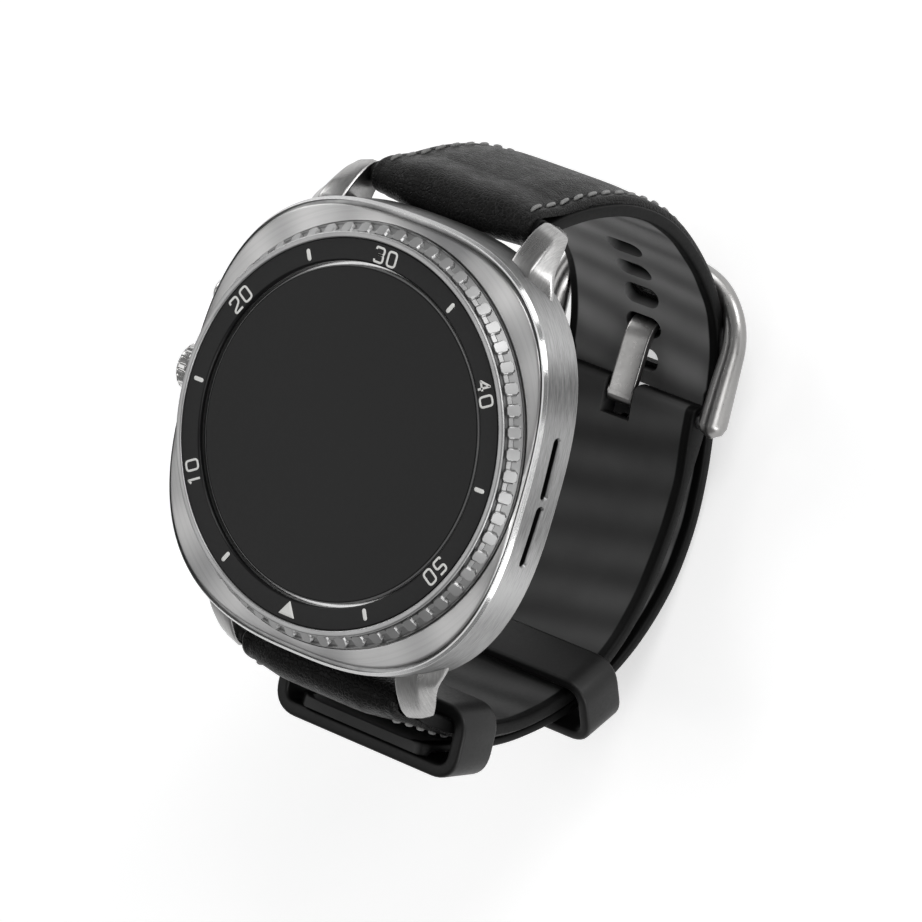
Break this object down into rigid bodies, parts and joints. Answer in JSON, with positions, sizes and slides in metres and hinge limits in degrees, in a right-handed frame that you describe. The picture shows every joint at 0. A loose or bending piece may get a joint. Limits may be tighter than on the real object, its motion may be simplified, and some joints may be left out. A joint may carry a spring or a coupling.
{
  "type": "dive computer",
  "caption": "Round wrist dive computer with a toothed rotating bezel on a cushion case and a closed leather and rubber strap with a tang buckle.",
  "frame": {"origin": "centre of the flat wrist face of the sensor window on the case back", "axes": "+Z out of the display, +Y towards 12 o'clock, +X towards the crown at 3 o'clock"},
  "size_m": [0.0468, 0.0624, 0.0552],
  "materials": {
    "brushed_steel": "brushed along the side band, satin on the lugs",
    "polished_steel": "satin to polished",
    "bezel_steel": "fine satin with a bright rim",
    "dark_steel": "fine bead-blasted",
    "sensor_glass": "polished dark crystal",
    "display_glass": "clear sapphire over a switched-off display",
    "insert_black": "satin black ceramic",
    "mark_white": "matte off-white filling",
    "seal_rubber": "moulded",
    "strap_rubber": "satin moulded",
    "strap_leather": "fine grain, lightly padded",
    "inner_plastic": "moulded",
    "circuit_board": "solder mask",
    "battery_wrap": "foil wrap",
    "copper": "enamelled wire",
    "ceramic_sensor": "unglazed"
  },
  "bodies": {
    "case": {"mid_case": "brushed_steel", "seat_ring": "bezel_steel", "case_back": "dark_steel", "sensor_window": "sensor_glass", "case_back_screws": "polished_steel", "case_back_gasket": "seal_rubber", "crystal": "display_glass", "crystal_gasket": "seal_rubber", "display_panel": "inner_plastic", "inner_frame": "inner_plastic", "main_board": "circuit_board", "battery": "battery_wrap", "charging_coil": "copper", "sensor_board": "circuit_board", "speaker": "inner_plastic", "speaker_mesh": "dark_steel", "vibration_motor": "polished_steel", "pressure_sensor": "ceramic_sensor", "bezel_snap_wire": "polished_steel", "bezel_click_ring": "polished_steel", "crown_tube": "polished_steel", "crown_spring": "polished_steel", "button_spring": "polished_steel", "spring_bar_12": "polished_steel", "spring_bar_6": "polished_steel", "buckle_spring_bar": "polished_steel", "long_strap_lining": "strap_rubber", "long_strap_leather": "strap_leather", "short_strap_lining": "strap_rubber", "short_strap_leather": "strap_leather", "fixed_keeper": "strap_rubber"},
    "bezel": {"bezel_ring": "bezel_steel", "bezel_insert": "insert_black", "bezel_ticks": "mark_white", "bezel_numerals": "mark_white"},
    "crown_shaft": {"crown_stem": "polished_steel", "crown_seal": "seal_rubber"},
    "crown": {"crown_cap": "brushed_steel"},
    "side_button": {"side_button": "brushed_steel", "button_seal": "seal_rubber", "button_clip": "dark_steel"},
    "buckle": {"buckle_frame": "polished_steel"},
    "tang": {"buckle_tang": "polished_steel"},
    "sliding_keeper": {"loose_keeper": "strap_rubber"}
  },
  "joints": [
    {"name": "bezel_turn", "type": "hinge", "parent": "case", "child": "bezel", "pos_m": [0, 0, 0.0113], "axis": [0, 0, 1], "continuous": true},
    {"name": "crown_push", "type": "slide", "parent": "case", "child": "crown_shaft", "axis": [-1, 0, 0], "range_m": [0, 0.0005], "stiffness_N_per_m": 2000, "springref_m": -0.0004},
    {"name": "crown_turn", "type": "hinge", "parent": "crown_shaft", "child": "crown", "pos_m": [0.0235, 0, 0.00694], "axis": [1, 0, 0], "continuous": true},
    {"name": "button_push", "type": "slide", "parent": "case", "child": "side_button", "axis": [-1, 0, 0], "range_m": [0, 0.0005], "stiffness_N_per_m": 2000, "springref_m": -0.0004},
    {"name": "buckle_hinge", "type": "hinge", "parent": "case", "child": "buckle", "pos_m": [0, -0.0065, -0.0364], "axis": [1, 0, 0], "range_deg": [0, 1.5]},
    {"name": "tang_hinge", "type": "hinge", "parent": "case", "child": "tang", "pos_m": [0, -0.0065, -0.0364], "axis": [1, 0, 0], "range_deg": [0, 1.5]},
    {"name": "keeper_slide", "type": "slide", "parent": "case", "child": "sliding_keeper", "axis": [0, 0.5592, 0.829], "range_m": [-0.0015, 0.0015]}
  ]
}
